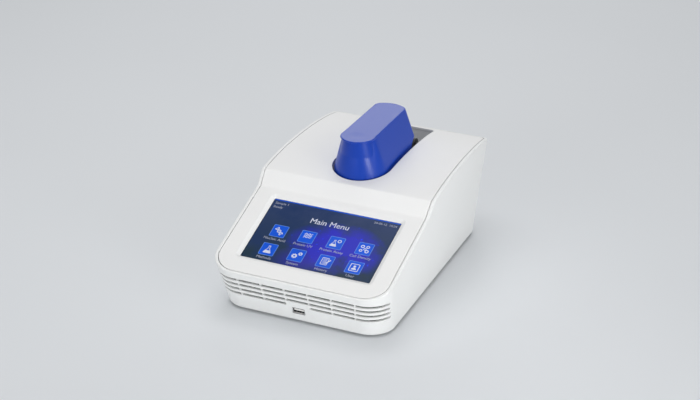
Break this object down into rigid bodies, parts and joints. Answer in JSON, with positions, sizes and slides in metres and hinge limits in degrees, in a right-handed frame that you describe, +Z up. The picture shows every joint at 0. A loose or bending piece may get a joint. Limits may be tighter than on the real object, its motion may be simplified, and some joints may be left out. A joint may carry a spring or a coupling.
{
  "type": "microvolume spectrophotometer",
  "caption": "Wedge-shaped benchtop microvolume spectrophotometer with a sloped touch screen and a swing-up measuring arm in a slot in its curved top",
  "frame": {"origin": "on the table, under the middle of the bounding box", "axes": "+X to the right, +Y to the back, +Z up, seen from the front"},
  "size_m": [0.2092, 0.3164, 0.1648],
  "materials": {
    "housing_white": "near-white moulded plastic with a very fine grain, satin",
    "cover_white": "near-white moulded plastic with a very fine grain, satin",
    "arm_blue": "royal blue moulded plastic, half gloss, very fine grain",
    "well_grey": "mid-grey moulded plastic, matt",
    "black_plastic": "black moulded plastic, matt",
    "rubber": "black rubber, dull",
    "steel": "stainless or plated steel, finely brushed",
    "screen_glass": "clear cover glass over a lit navy screen",
    "aluminium": "bead-blasted, clear anodised",
    "circuit_board": "green solder mask",
    "socket_white": "white socket insert",
    "contact_brass": "plain brass pin",
    "fibre_jacket": "smooth dark jacket"
  },
  "bodies": {
    "unit": {"arm_well": "well_grey", "base_plate": "housing_white", "base_screw_front_left": "steel", "base_screw_front_right": "steel", "base_screw_rear_left": "steel", "base_screw_rear_right": "steel", "body_shell": "housing_white", "cuvette_holder": "black_plastic", "detector_board": "circuit_board", "display_frame": "steel", "display_module": "aluminium", "display_screw_lower_left": "steel", "display_screw_lower_right": "steel", "display_screw_upper_left": "steel", "display_screw_upper_right": "steel", "foot_front_left": "rubber", "foot_front_right": "rubber", "foot_rear_left": "rubber", "foot_rear_right": "rubber", "front_usb_shell": "steel", "front_usb_tongue": "socket_white", "hinge_bracket": "steel", "hinge_brake_left": "black_plastic", "hinge_brake_right": "black_plastic", "hinge_pin": "steel", "lower_pedestal": "steel", "main_board": "circuit_board", "optical_fibre": "fibre_jacket", "pedestal_guide": "steel", "power_board": "circuit_board", "power_inlet_body": "black_plastic", "power_inlet_pin": "contact_brass", "rear_usb_shell": "steel", "rear_usb_tongue": "socket_white", "spectrometer_body": "aluminium", "spectrometer_lid": "aluminium", "switch_frame": "black_plastic", "top_cover": "cover_white", "touch_glass": "screen_glass"},
    "arm": {"arm_cover": "arm_blue", "arm_frame": "black_plastic", "arm_screw_left": "steel", "arm_screw_right": "steel", "lamp_module": "black_plastic", "lamp_lens_collar": "aluminium", "path_actuator": "steel", "arm_pad_left": "rubber", "arm_pad_right": "rubber"},
    "upper_pedestal": {"upper_pedestal": "steel"},
    "switch_rocker": {"switch_rocker": "black_plastic"}
  },
  "joints": [
    {"name": "arm_hinge", "type": "hinge", "parent": "unit", "child": "arm", "pos_m": [0, 0.108, 0.118], "axis": [-1, 0, 0], "range_deg": [0, 85]},
    {"name": "pedestal_slide", "type": "slide", "parent": "arm", "child": "upper_pedestal", "axis": [0, 0, 1], "range_m": [0, 0.001]},
    {"name": "rocker_hinge", "type": "hinge", "parent": "unit", "child": "switch_rocker", "pos_m": [-0.06, 0.1487, 0.03017], "axis": [1, 0, 0], "range_deg": [0, 18]}
  ]
}
